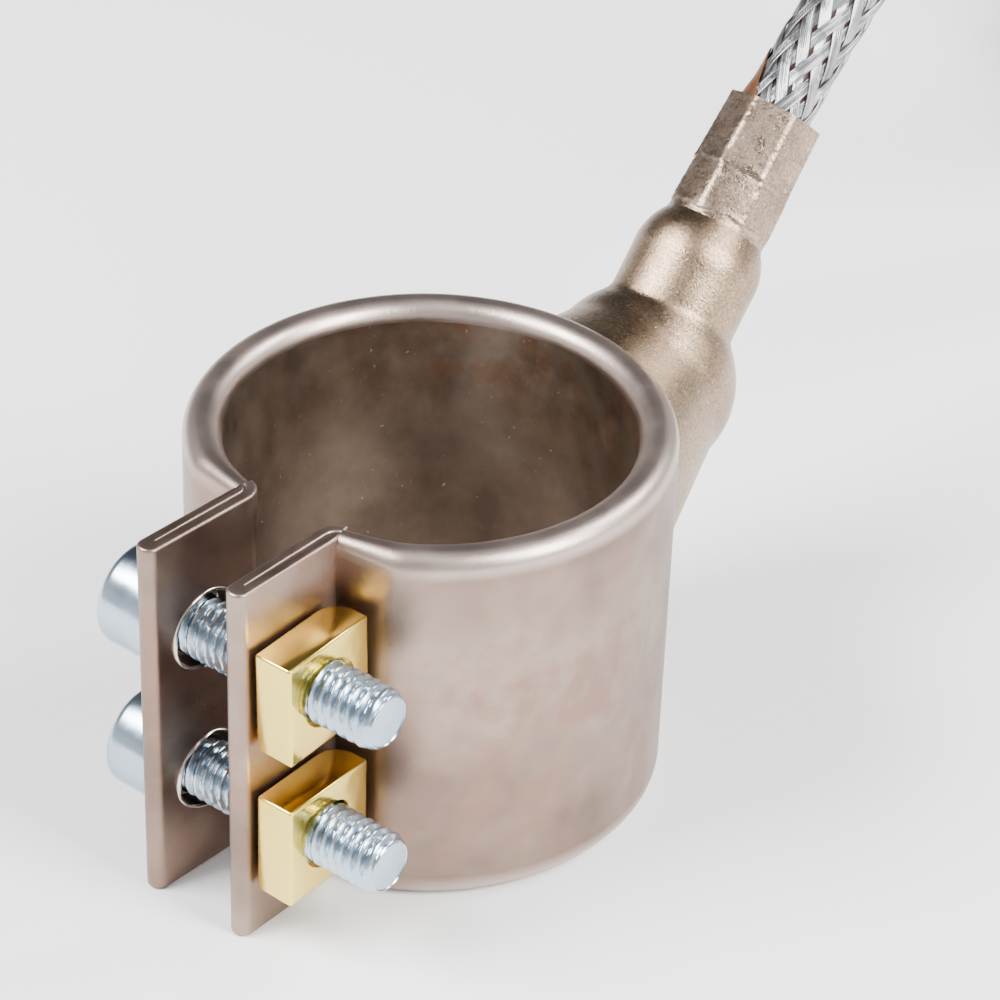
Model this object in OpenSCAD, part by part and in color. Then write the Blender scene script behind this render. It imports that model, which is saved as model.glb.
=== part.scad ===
/* [Band] */
// Inside diameter of the band, which is the nozzle's diameter
bore_d = 38; // [37:0.5:40]
// Width of the band along the bore
band_w = 38; // [37:0.5:40]
// Thickness of the sealed wall between the inner and outer faces
wall = 3.6; // [3.6:0.1:4]
// Thickness of the sheath sheet
sheet = 1.1; // [1.05:0.05:1.1]

/* [Ears] */
// Opening between the ears at their roots
gap = 7.6; // [7.4:0.1:8]
// Distance from the bore axis to the ears' free ends
ear_reach = 32.4; // [32:0.2:34]
// Angle by which the fixed ear splays away from the gap
fixed_splay = 4; // [3:0.5:4]
// Angle by which the closing ear leans into the gap
closing_lean = 2; // [1.5:0.5:2]
// Diameter of the screw holes in the ears
ear_hole_d = 7.4; // [7.4:0.1:7.6]

/* [Clamping screws] */
// Nominal thread diameter
screw_d = 6; // [6:0.1:6.1]
// Length of the shank under the head
screw_len = 24; // [23:0.5:25]
// Diameter of the cap head
head_d = 10; // [9.5:0.1:10]
// Height of the cap head
head_h = 6; // [5:0.2:6]
// Distance between the two screw axes
screw_spacing = 15.8; // [15.4:0.2:16]
// Distance from the bore axis to the plane of the screw axes
screw_reach = 25.9; // [25.8:0.1:26]

/* [Nuts] */
// Thickness of the nut block along the screw
nut_t = 4; // [3.8:0.1:4.2]
// Width of the nut block away from the band
nut_w = 10.4; // [10.2:0.1:10.4]
// Height of the nut block along the bore
nut_h = 10.6; // [10.4:0.1:10.8]

/* [Outlet] */
// Foot diameter of the outlet cap at the band
foot_d = 25.2; // [24.8:0.2:25.4]
// Diameter of the cap's dome
dome_d = 18.6; // [18.4:0.2:18.8]
// Diameter of the round bulge in the outlet tube
bulge_d = 12.9; // [12.7:0.1:13]
// Outside diameter of the crimp at its root
crimp_d = 10; // [9.8:0.1:10.2]

/* [Cable] */
// Outside diameter of the braided cable
cable_d = 7.2; // [7:0.1:7.2]

/* [Hidden] */
$fn = 64;
eps = 0.01;

r_in = bore_d / 2;
r_out = r_in + wall;
half_w = band_w / 2;

// The rim is a half-round roll as thick as the wall, pressed flat on its crest.
roll_r = wall / 2;
roll_mid_r = r_in + roll_r;
roll_z = half_w - roll_r + 0.05;
seam_z = roll_z - 0.9;
seam_gap = 0.05;

// The band flexes at this angle round the bore, measured from +X, beside the outlet cap.
flex_a = 46;
flex_slit_a = 0.2;

// Each ear folds out of the band round this centre, so its outer corner is sharp.
ear_t = 2 * sheet;
fold_x = gap / 2 + ear_t;
fold_y = -sqrt(pow(r_in + ear_t, 2) - pow(fold_x, 2));
fold_a = atan2(fold_y, fold_x);
taper_a = fold_a + 15;
ear_len = ear_reach + fold_y;

// The closing ear's holes sit this much further out, to stay round the screws as it swings
hole_shift = 0.35;

// The folded stretch of the inner sheet stands back this far from the wall's faces
ply_relief = 0.03;

// Layers of the element, as radii of their inner and outer faces
inner_mica = [r_in + 1.12, r_in + 1.42];
ribbon_inner = [r_in + 1.44, r_in + 1.56];
core = [r_in + 1.58, r_in + 1.98];
ribbon_outer = [r_in + 2.0, r_in + 2.12];
outer_mica = [r_in + 2.14, r_in + 2.44];
element_half_w = half_w - 3.4;
core_half_w = element_half_w - 1;
ribbon_half_w = core_half_w + 0.2;
ribbon_t = 0.12;
ribbon_step_a = 13;
ribbon_bar_a = 7;

// The element's two lengths, as start and end angles that keep clear of the flex line and the ears
element_end_clear_a = 21;
fixed_element = [flex_a + 1.5, 180 - fold_a - element_end_clear_a + 1];
closing_element = [fold_a + element_end_clear_a - 1, flex_a - 1.5];

// Screws: the pair sits a little below mid-width
pair_z = -0.3;
upper_z = pair_z + screw_spacing / 2;
lower_z = pair_z - screw_spacing / 2;
thread_fit = 0.05;
shank_r = screw_d / 2 - thread_fit;
tip_chamfer = 0.8;
head_round = 0.8;
socket_af = 5;
socket_depth = 3;
lower_seat_x = -6.85;
upper_seat_x = lower_seat_x - 0.5;

// Nuts: blocks against the closing ear, one corner rounded to clear the fold
nut_x = fold_x + 0.1;
nut_mid_y = -screw_reach;
nut_corner_r = 2.5;

// Outlet: foot on the band, dome, round bulge and crimped mouth, all in the plane x = 0
foot_at = [0, 16, 3.1];
foot_flare = 1.9;
dome_at = [0, 32.5, 7];
bulge_at = [0, 41.3, 16.4];
mouth_at = [0, 53.6, 28];
cap_t = 1.2;
neck_d = 12.2;
neck_start = 4.6;
mouth_d = 9.1;
crimp_bore_d = 7.8;
bead_w = 0.9;

// Electrical pieces inside the cap
lead_x = 2.6;
lead_z = 4.3;
tail_r = 0.5;
barrel_r = 1.2;
splice_start = 25.4;
splice_len = 4.4;
wire_r = 1.1;

// Route of the cable from the mouth over and down to the hank, on the floor at z = -band_w / 2
floor_z = -half_w;
route = [
  [0, 53.6, 28], [0, 58.4, 32.3], [0, 63.8, 36.3], [0, 70, 40.2], [0, 77, 43.3],
  [0.2, 84.5, 45], [0.8, 92, 44.8], [2, 99.5, 42.6], [4, 106.5, 38.6], [6.3, 113, 33.2],
  [8.8, 119, 27], [11.2, 125, 20.6], [13.6, 131.4, 14.4], [15.9, 138.6, 8.8], [18, 146.6, 4.2],
  [19.8, 155.4, 1.1], [21, 165, -0.4], [21.6, 176, -0.7],
];
tube_sides = 12;

// Hank: runs this far either side of its middle, between these two ends, three turns high.
// The lowest turn is open at the near end, where the cable leaves it.
hank_half = 21.6;
hank_y = [177, 261];
hank_h = 22.2;
hank_level = 7.4;
hank_fit = 0.3;
tie_y = 228;
tie_w = 9;
tie_t = 0.8;

// The cable's far end leaves the lowest turn here, heading back towards the band
end_at = [-hank_half, 166, floor_z + 4];
collar_r = 4;
collar_len = 9;
collar_over = 7;
tail_end_y = 148;
tail_spread = 3;
tail_wire_r = 1;
ferrule_r = 0.7;
ferrule_len = 6;

// A ring section between two radii, two angles and two heights
module ring_part(radii, angles, heights) {
  rotate([0, 0, angles[0]])
    rotate_extrude(angle = angles[1] - angles[0])
      translate([radii[0], heights[0]])
        square([radii[1] - radii[0], heights[1] - heights[0]]);
}

// A straight round bar between two points
module bar(a, b, r1, r2) {
  d = b - a;
  l = norm(d);
  translate(a)
    rotate([0, acos(d[2] / l), atan2(d[1], d[0])])
      cylinder(h = l, r1 = r1, r2 = r2);
}

// A pie slice of a circle, from one angle to another
module pie(r, from_a, to_a) {
  intersection() {
    circle(r = r);
    polygon([
      [0, 0],
      2 * r * [cos(from_a), sin(from_a)],
      2 * r * [cos((from_a + to_a) / 2), sin((from_a + to_a) / 2)],
      2 * r * [cos(to_a), sin(to_a)],
    ]);
  }
}

// Section of the inner sheath in the (radius, height) plane: wall, two rolled rims and their lips
module inner_sheath_section() {
  intersection() {
    union() {
      translate([r_in, -roll_z])
        square([sheet, 2 * roll_z]);
      for (side = [-1, 1]) {
        difference() {
          translate([roll_mid_r, side * roll_z])
            circle(r = roll_r);
          translate([roll_mid_r, side * roll_z])
            circle(r = roll_r - sheet);
          translate([r_in - 1, side > 0 ? 0 : -roll_z])
            square([wall + 2, roll_z]);
        }
        translate([r_out - sheet, side > 0 ? seam_z : -roll_z])
          square([sheet, roll_z - seam_z]);
      }
    }
    translate([r_in, -half_w])
      square([wall, band_w]);
  }
}

// Points on a circle round a centre, from one angle to another
function arc(at, r, from_a, to_a, n) =
  [for (i = [0 : n]) at + r * [cos(from_a + (to_a - from_a) * i / n), sin(from_a + (to_a - from_a) * i / n)]];

// Plan of the inner sheet on the closing side: end of the wall, fold, ear ply and rounded free end
module inner_ply_plan(tilt) {
  fold = [fold_x, fold_y];
  end = fold + (ear_len - sheet) * [sin(tilt), -cos(tilt)] - sheet * [cos(tilt), sin(tilt)];
  polygon(concat(
    arc([0, 0], r_in + ply_relief, taper_a + 1, fold_a + 1, 5),
    arc(fold, ear_t, fold_a + 180, 180 + tilt, 9),
    arc(end, sheet, 180 + tilt, 450 + tilt, 18),
    arc(fold, sheet, 180 + tilt, fold_a + 180, 9),
    arc([0, 0], r_in + sheet - ply_relief, fold_a + 1, taper_a + 1, 5)
  ));
}

// Plan of the outer sheet's fold and ear ply on the closing side
module outer_ply_plan(tilt) {
  translate([fold_x, fold_y]) {
    pie(sheet, fold_a + 180, 180 + tilt);
    rotate(tilt)
      difference() {
        translate([-sheet, -ear_len + sheet])
          square([sheet, ear_len - sheet]);
        translate([-sheet, -ear_len + sheet])
          circle(r = sheet);
      }
  }
}

// A point on a circle round the bore
function on_ring(r, a) = [r * cos(a), r * sin(a)];

// Plan of the stretch where the wall thins from its full thickness to the ear's
module taper_plan(inner_edge) {
  polygon([
    on_ring(inner_edge, fold_a),
    [fold_x, fold_y],
    on_ring(r_out, taper_a),
    on_ring(inner_edge + (wall - ear_t) * (inner_edge > r_in + eps ? 1 : 0), taper_a),
  ]);
}

// Plan of the rim that closes the thinning stretch
module taper_rim_plan() {
  polygon(concat(
    [[fold_x, fold_y]],
    arc([0, 0], r_in + sheet / 2, fold_a + 1, taper_a + 0.7, 4),
    [on_ring(r_out - 0.1, taper_a + 0.7)]
  ));
}

// Both screw holes of one ear
module ear_holes(reach) {
  for (z = [upper_z, lower_z])
    translate([0, -reach, z])
      rotate([0, 90, 0])
        cylinder(h = 2 * r_in, d = ear_hole_d);
}

// The inner sheet from the ear to the flex line, drawn on the +X side
module inner_sheath(tilt, to_a, hole_reach) {
  difference() {
    union() {
      rotate([0, 0, taper_a])
        rotate_extrude(angle = to_a - taper_a)
          inner_sheath_section();
      translate([0, 0, -half_w])
        linear_extrude(band_w)
          inner_ply_plan(tilt);
      for (z = [-half_w + 2 * ply_relief, half_w - sheet])
        translate([0, 0, z])
          linear_extrude(sheet - 2 * ply_relief)
            taper_rim_plan();
    }
    ear_holes(hole_reach);
  }
}

// The outer sheet from the ear to the flex line, drawn on the +X side
module outer_sheath(tilt, to_a, hole_reach) {
  difference() {
    union() {
      ring_part([r_out - sheet, r_out], [taper_a, to_a], [-seam_z + seam_gap, seam_z - seam_gap]);
      translate([0, 0, -half_w + sheet + seam_gap])
        linear_extrude(band_w - 2 * sheet - 2 * seam_gap)
          taper_plan(r_in + sheet);
      translate([0, 0, -half_w])
        linear_extrude(band_w)
          outer_ply_plan(tilt);
    }
    ear_holes(hole_reach);
  }
}

module inner_sheath_fixed() {
  color("rosybrown")
    mirror([1, 0, 0])
      inner_sheath(fixed_splay, 180 - flex_a, screw_reach);
}

module inner_sheath_closing() {
  color("rosybrown")
    inner_sheath(-closing_lean, flex_a - flex_slit_a, screw_reach + hole_shift);
}

// The fixed outer sheath has two holes for the leads, under the cap
module outer_sheath_fixed() {
  color("tan")
    difference() {
      mirror([1, 0, 0])
        outer_sheath(fixed_splay, 180 - flex_a, screw_reach);
      lead_holes(1.6);
    }
}

module outer_sheath_closing() {
  color("tan")
    outer_sheath(-closing_lean, flex_a - flex_slit_a, screw_reach + hole_shift);
}

module lead_holes(r) {
  for (x = [-lead_x, lead_x])
    bar([x, r_in + 1.9, lead_z], [x, r_out + 3, lead_z], r, r);
}

module mica_sheet(radii, angles) {
  ring_part(radii, angles, [-element_half_w, element_half_w]);
}

module inner_mica_fixed() {
  color("darkgoldenrod")
    mica_sheet(inner_mica, fixed_element);
}

module inner_mica_closing() {
  color("darkgoldenrod")
    mica_sheet(inner_mica, closing_element);
}

module outer_mica_fixed() {
  color("goldenrod")
    difference() {
      mica_sheet(outer_mica, fixed_element);
      lead_holes(1.6);
    }
}

module outer_mica_closing() {
  color("goldenrod")
    mica_sheet(outer_mica, closing_element);
}

module element_core_fixed() {
  color("khaki")
    ring_part(core, fixed_element, [-core_half_w, core_half_w]);
}

module element_core_closing() {
  color("khaki")
    ring_part(core, closing_element, [-core_half_w, core_half_w]);
}

// Section of one turn: up inside the core, over it and down outside
module ribbon_section() {
  low = -ribbon_half_w + ribbon_t / 2;
  for (r = [ribbon_inner[0], ribbon_outer[0]])
    translate([r, low])
      square([ribbon_t, ribbon_half_w - low]);
  translate([ribbon_inner[0], ribbon_half_w - ribbon_t])
    square([ribbon_outer[1] - ribbon_inner[0], ribbon_t]);
}

// The ribbon's turns, each joined to the next along the foot of the core
module ribbon(angles) {
  turns = floor((angles[1] - angles[0] - ribbon_bar_a) / ribbon_step_a);
  foot = [-ribbon_half_w, -ribbon_half_w + ribbon_t];
  link = [ribbon_inner[0] + 0.03, ribbon_outer[1] - 0.03];
  for (i = [0 : turns]) {
    a = angles[0] + 1 + i * ribbon_step_a;
    rotate([0, 0, a])
      rotate_extrude(angle = ribbon_bar_a)
        ribbon_section();
    if (i < turns)
      ring_part(link, [a + ribbon_bar_a - 1.5, a + ribbon_step_a + 1.5], foot);
  }
}

module heating_ribbon_fixed() {
  color("lightsteelblue")
    ribbon(fixed_element);
}

module heating_ribbon_closing() {
  color("lightsteelblue")
    ribbon(closing_element);
}

// Nickel tails from the ribbon out through the bushes to the splices
module element_tails() {
  color("silver")
    for (x = [-lead_x, lead_x])
      bar([x, ribbon_outer[1] - 0.1, lead_z], [x, splice_start, lead_z], tail_r, tail_r);
}

module lead_bushes() {
  color("ivory")
    for (x = [-lead_x, lead_x])
      difference() {
        bar([x, outer_mica[0] + 0.1, lead_z], [x, r_out + 2, lead_z], 1.5, 1.5);
        bar([x, r_in, lead_z], [x, r_out + 3, lead_z], tail_r + 0.1, tail_r + 0.1);
      }
}

module lead_splices() {
  color("gold")
    for (x = [-lead_x, lead_x])
      bar([x, splice_start, lead_z], [x, splice_start + splice_len, lead_z], barrel_r, barrel_r);
}

module splice_sleeves() {
  color("white")
    for (x = [-lead_x, lead_x])
      difference() {
        bar([x, splice_start - 0.7, lead_z], [x, splice_start + splice_len, lead_z], 1.9, 1.9);
        bar([x, splice_start - 2, lead_z], [x, splice_start + splice_len + 1, lead_z], 1.3, 1.3);
      }
}

// Two insulated conductors from the splices up through the bulge to the cable's end
module lead_wires() {
  inner_end = mouth_at - 8 * outlet_dir();
  color("peru")
    for (side = [-1, 1]) {
      x = [side * lead_x, 0, 0];
      start_at = [side * lead_x, splice_start + splice_len, lead_z];
      bend_at = start_at + [0, 1.9, 0];
      bar(start_at, bend_at, wire_r, wire_r);
      translate(bend_at)
        sphere(r = wire_r + 0.06);
      bar(bend_at, bulge_at + 0.6 * x, wire_r, wire_r);
      translate(bulge_at + 0.6 * x)
        sphere(r = wire_r + 0.06);
      bar(bulge_at + 0.6 * x, inner_end + 0.6 * x, wire_r, wire_r);
    }
}

function outlet_dir() = (mouth_at - bulge_at) / norm(mouth_at - bulge_at);

function neck_dir() = (bulge_at - dome_at) / norm(bulge_at - dome_at);

// Foot cone and dome of the cap, drawn smaller by t for the hollow
module cap_shape(t) {
  bar(foot_at, dome_at, foot_d / 2 + foot_flare - t, dome_d / 2 - 0.1 - t);
  translate(dome_at)
    sphere(r = dome_d / 2 - t);
}

module band_body(r) {
  translate([0, 0, -half_w])
    cylinder(h = band_w, r = r);
}

module outlet_cap() {
  color("burlywood")
    difference() {
      cap_shape(0);
      cap_shape(cap_t);
      bar(dome_at, bulge_at + 4 * neck_dir(), neck_d / 2, neck_d / 2);
      band_body(r_out);
    }
}

// The bead of braze round the foot of the cap
module braze_bead() {
  color("wheat")
    difference() {
      intersection() {
        bar(foot_at, dome_at, foot_d / 2 + foot_flare + bead_w, dome_d / 2 - 0.1 + bead_w);
        band_body(r_out + bead_w);
      }
      bar(foot_at, dome_at, foot_d / 2 + foot_flare, dome_d / 2 - 0.1);
      band_body(r_out);
    }
}

// Neck, round bulge and crimped sleeve, one drawn tube set into the dome
module outlet_tube() {
  neck_from = dome_at + neck_start * neck_dir();
  past_mouth = mouth_at + outlet_dir();
  color("burlywood")
    difference() {
      union() {
        bar(neck_from, bulge_at, neck_d / 2, neck_d / 2);
        translate(bulge_at)
          sphere(d = bulge_d);
        bar(bulge_at, mouth_at, crimp_d / 2, mouth_d / 2);
      }
      bar(dome_at, bulge_at, neck_d / 2 - cap_t, neck_d / 2 - cap_t);
      translate(bulge_at)
        sphere(r = bulge_d / 2 - cap_t);
      bar(bulge_at, past_mouth, crimp_bore_d / 2, crimp_bore_d / 2);
    }
}

// Brown glass-fibre sleeving between the crimp and the cable's end
module fibre_sleeve() {
  from = mouth_at - 9 * outlet_dir();
  color("saddlebrown")
    difference() {
      bar(from, mouth_at, crimp_bore_d / 2 - 0.05, crimp_bore_d / 2 - 0.05);
      bar(from - outlet_dir(), mouth_at + outlet_dir(), cable_d / 2 - 0.1, cable_d / 2 - 0.1);
    }
}

// Socket head cap screw along +X, its seat at x = 0
module cap_screw() {
  difference() {
    rotate([0, 90, 0])
      rotate_extrude() {
        translate([0, -head_h + head_round])
          square([head_d / 2, head_h - head_round]);
        translate([0, -head_h])
          square([head_d / 2 - head_round, head_h]);
        intersection() {
          translate([head_d / 2 - head_round, -head_h + head_round])
            circle(r = head_round);
          square([head_d, 2 * head_h], center = true);
        }
        polygon([
          [0, -eps], [shank_r, -eps], [shank_r, screw_len - tip_chamfer],
          [shank_r - tip_chamfer, screw_len], [0, screw_len],
        ]);
      }
    translate([-head_h - eps, 0, 0])
      rotate([0, 90, 0])
        cylinder(h = socket_depth, d = socket_af / cos(30), $fn = 6);
  }
}

module upper_screw() {
  color("lightblue")
    translate([upper_seat_x, -screw_reach, upper_z])
      cap_screw();
}

module lower_screw() {
  color("lightblue")
    translate([lower_seat_x, -screw_reach, lower_z])
      cap_screw();
}

// Plan of a nut block, with the corner beside the fold rounded
module nut_plan() {
  difference() {
    translate([0, -nut_w / 2])
      square([nut_t, nut_w]);
    difference() {
      translate([-eps, nut_w / 2 - nut_corner_r])
        square([nut_corner_r + eps, nut_corner_r + eps]);
      translate([nut_corner_r, nut_w / 2 - nut_corner_r])
        circle(r = nut_corner_r);
    }
  }
}

module nut_block() {
  difference() {
    translate([0, 0, -nut_h / 2])
      linear_extrude(nut_h)
        nut_plan();
    translate([-1, 0, 0])
      rotate([0, 90, 0])
        cylinder(h = nut_t + 2, d = screw_d);
  }
}

module upper_nut() {
  color("gold")
    translate([nut_x, nut_mid_y, upper_z])
      nut_block();
}

module lower_nut() {
  color("gold")
    translate([nut_x, nut_mid_y, lower_z])
      nut_block();
}

// Direction of the route at one of its points
function heading(i) =
  let (
    a = route[max(i - 1, 0)],
    b = route[min(i + 1, len(route) - 1)]
  ) (b - a) / norm(b - a);

// Corners of the tube's ring at one point of the route
function tube_ring(i, r) =
  let (
    d = heading(i),
    side = cross(d, [0, 0, 1]) / norm(cross(d, [0, 0, 1])),
    up = cross(side, d)
  ) [for (k = [0 : tube_sides - 1])
      let (a = 360 * k / tube_sides) route[i] + r * (cos(a) * side + sin(a) * up)];

// One closed tube along the route
module swept_tube(r) {
  n = len(route);
  s = tube_sides;
  points = [for (i = [0 : n - 1]) each tube_ring(i, r)];
  sides = [for (i = [0 : n - 2], k = [0 : s - 1])
    [i * s + k, i * s + (k + 1) % s, (i + 1) * s + (k + 1) % s, (i + 1) * s + k]];
  start_cap = [for (k = [s - 1 : -1 : 0]) k];
  end_cap = [for (k = [0 : s - 1]) (n - 1) * s + k];
  polyhedron(points = points, faces = concat(sides, [start_cap, end_cap]));
}

module cable() {
  color("gainsboro")
    swept_tube(cable_d / 2);
}

// Outline of the hank with round ends, at a distance from the middle of its runs
module hank_outline(r) {
  for (y = hank_y)
    translate([0, y])
      circle(r = r);
  translate([-r, hank_y[0]])
    square([2 * r, hank_y[1] - hank_y[0]]);
}

module cable_hank() {
  outer = hank_half + cable_d / 2 + hank_fit;
  inner = hank_half - cable_d / 2 - hank_fit;
  color("gainsboro")
    difference() {
      translate([0, 0, floor_z])
        linear_extrude(hank_h)
          difference() {
            hank_outline(outer);
            hank_outline(inner);
          }
      translate([-outer - 1, hank_y[0] - outer - 1, floor_z - 1])
        cube([2 * outer + 2, outer - 3, hank_level + 1.8]);
    }
}

// The straight length of cable between the hank's lowest turn and the collar
module cable_end() {
  color("gainsboro")
    bar([end_at[0], hank_y[0] - 4, end_at[2]], end_at, cable_d / 2, cable_d / 2);
}

// Flat strap round both runs of the hank
module hank_tie() {
  outer = hank_half + cable_d / 2 + hank_fit + tie_t;
  color("dimgray")
    translate([0, tie_y - tie_w / 2, floor_z])
      rotate([-90, 0, 0])
        mirror([0, 1, 0])
          linear_extrude(tie_w)
            difference() {
              translate([-outer, 0])
                square([2 * outer, hank_h + 2 * tie_t]);
              translate([-outer + tie_t, tie_t])
                square([2 * (outer - tie_t), hank_h]);
            }
}

// Crimped collar that binds the end of the braid
module end_collar() {
  from = end_at + [0, collar_over, 0];
  color("silver")
    difference() {
      bar(from, from - [0, collar_len, 0], collar_r, collar_r);
      bar(from + [0, 1, 0], end_at, cable_d / 2, cable_d / 2);
    }
}

// Starts and ends of the three tail wires
function tail_start(i) = end_at + [2 * i, collar_over - collar_len, 0];
function tail_end(i) = [end_at[0] + 4 + tail_spread * i, tail_end_y, floor_z + 1.2];

module tail_leads() {
  color("peru")
    for (i = [-1 : 1])
      bar(tail_start(i), tail_end(i), tail_wire_r, tail_wire_r);
}

module lead_ferrules() {
  color("silver")
    for (i = [-1 : 1]) {
      d = (tail_end(i) - tail_start(i)) / norm(tail_end(i) - tail_start(i));
      bar(tail_end(i), tail_end(i) + ferrule_len * [d[0], d[1], 0], ferrule_r, ferrule_r);
    }
}

inner_sheath_fixed();
inner_sheath_closing();
outer_sheath_fixed();
outer_sheath_closing();
inner_mica_fixed();
inner_mica_closing();
element_core_fixed();
element_core_closing();
heating_ribbon_fixed();
heating_ribbon_closing();
outer_mica_fixed();
outer_mica_closing();
element_tails();
lead_bushes();
lead_splices();
splice_sleeves();
lead_wires();
outlet_cap();
braze_bead();
outlet_tube();
fibre_sleeve();
upper_screw();
lower_screw();
upper_nut();
lower_nut();
cable();
cable_hank();
cable_end();
hank_tie();
end_collar();
tail_leads();
lead_ferrules();
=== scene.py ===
import math
import bmesh
import bpy
import numpy as np
from mathutils import Matrix, Vector


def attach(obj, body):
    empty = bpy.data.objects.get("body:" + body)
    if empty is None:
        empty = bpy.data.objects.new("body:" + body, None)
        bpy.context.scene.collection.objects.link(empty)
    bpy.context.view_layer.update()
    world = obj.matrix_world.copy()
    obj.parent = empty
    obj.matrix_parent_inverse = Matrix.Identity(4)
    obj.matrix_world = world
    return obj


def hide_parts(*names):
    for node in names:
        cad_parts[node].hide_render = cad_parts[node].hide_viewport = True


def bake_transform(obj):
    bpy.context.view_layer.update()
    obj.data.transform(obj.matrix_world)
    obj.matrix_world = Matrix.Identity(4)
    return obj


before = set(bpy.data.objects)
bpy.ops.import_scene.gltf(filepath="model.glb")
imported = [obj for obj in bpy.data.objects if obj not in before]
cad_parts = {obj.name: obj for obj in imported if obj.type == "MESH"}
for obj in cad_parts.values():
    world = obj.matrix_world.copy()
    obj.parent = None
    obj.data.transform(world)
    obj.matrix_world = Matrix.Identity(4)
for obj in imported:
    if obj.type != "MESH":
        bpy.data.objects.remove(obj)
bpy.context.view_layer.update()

# Dimensions in millimetres, the same as the CAD's. Meshes are scaled to metres when they are made.
R_IN = 19.0
WALL = 3.6
R_OUT = R_IN + WALL
SHEET = 1.1
HALF_W = 19.0
EAR_T = 2 * SHEET
# The ears' free ends, the fold where an ear meets the ring, and the angle where the wall starts to thin
EAR_REACH = 32.4
FOLD = np.array([6.0, -math.sqrt((R_IN + EAR_T) ** 2 - 36.0)])
FOLD_A = math.degrees(math.atan2(FOLD[1], FOLD[0]))
TAPER_A = FOLD_A + 15
EAR_LEN = EAR_REACH + FOLD[1]
# Degrees round the bore that bound the band's middle stretch, built as a piece of its own; the real wall bends there
# when the ears close
FLEX_FROM, FLEX_TO = 52.0, 40.0
SCREW_REACH = 25.9
UPPER_Z, LOWER_Z = 7.6, -8.2
# How far below the rim's centre the rolled edge meets the outer sheet
SEAM_DROP = 0.9


# ---------------------------------------------------------------- materials
def nodes_of(name):
    m = bpy.data.materials.new(name)
    m.use_nodes = True
    nt = m.node_tree
    return m, nt, nt.nodes["Principled BSDF"]


def noise_node(nt, scale, detail=4.0, rough=0.55):
    coord = nt.nodes.new("ShaderNodeTexCoord")
    tex = nt.nodes.new("ShaderNodeTexNoise")
    tex.inputs["Scale"].default_value = scale
    tex.inputs["Detail"].default_value = detail
    tex.inputs["Roughness"].default_value = rough
    nt.links.new(coord.outputs["Object"], tex.inputs["Vector"])
    return tex


def ramp(nt, fac, stops):
    r = nt.nodes.new("ShaderNodeValToRGB")
    el = r.color_ramp.elements
    while len(el) < len(stops):
        el.new(0.5)
    for e, (pos, col) in zip(el, stops):
        e.position = pos
        e.color = (*col, 1.0)
    nt.links.new(fac, r.inputs["Fac"])
    return r.outputs["Color"]


def grey(value):
    return (value, value, value)


def axes_of(nt, output):
    """X, Y and Z of one of the texture coordinates."""
    coord = nt.nodes.new("ShaderNodeTexCoord")
    sep = nt.nodes.new("ShaderNodeSeparateXYZ")
    nt.links.new(coord.outputs[output], sep.inputs[0])
    return sep.outputs


def math_node(nt, operation, *values):
    n = nt.nodes.new("ShaderNodeMath")
    n.operation = operation
    for socket, v in zip(n.inputs, values):
        if isinstance(v, float):
            socket.default_value = v
        else:
            nt.links.new(v, socket)
    return n.outputs[0]


def rising(nt, value, low, high):
    """0 below low, 1 above high."""
    n = nt.nodes.new("ShaderNodeMapRange")
    n.inputs["From Min"].default_value = low
    n.inputs["From Max"].default_value = high
    nt.links.new(value, n.inputs["Value"])
    return n.outputs["Result"]


def add_bump(nt, bsdf, layers):
    last = None
    for tex_out, strength, distance in layers:
        b = nt.nodes.new("ShaderNodeBump")
        b.inputs["Strength"].default_value = strength
        b.inputs["Distance"].default_value = distance
        nt.links.new(tex_out, b.inputs["Height"])
        if last is not None:
            nt.links.new(last.outputs["Normal"], b.inputs["Normal"])
        last = b
    nt.links.new(last.outputs["Normal"], bsdf.inputs["Normal"])


def mixed(nt, a, b, fac):
    return blended(nt, a, b, fac, "MIX")


def multiplied(nt, a, b):
    return blended(nt, a, b, 1.0, "MULTIPLY")


def blended(nt, a, b, fac, blend):
    mx = nt.nodes.new("ShaderNodeMix")
    mx.data_type = "RGBA"
    mx.blend_type = blend
    if isinstance(fac, float):
        mx.inputs[0].default_value = fac
    else:
        nt.links.new(fac, mx.inputs[0])
    for socket, v in ((mx.inputs[6], a), (mx.inputs[7], b)):
        if isinstance(v, tuple):
            socket.default_value = (*v, 1.0)
        else:
            nt.links.new(v, socket)
    return mx.outputs[2]


def metal_finish(nt, bsdf, col, rough, rough_scale, rough_detail, bumps):
    """Joins colour, patchy roughness and bumps, and makes the surface metallic."""
    nt.links.new(col, bsdf.inputs["Base Color"])
    tex = noise_node(nt, rough_scale, rough_detail)
    rr = ramp(nt, tex.outputs["Fac"], [(0.3, grey(rough[0])), (0.7, grey(rough[1]))])
    nt.links.new(rr, bsdf.inputs["Roughness"])
    bsdf.inputs["Metallic"].default_value = 1.0
    add_bump(nt, bsdf, bumps)


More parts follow.
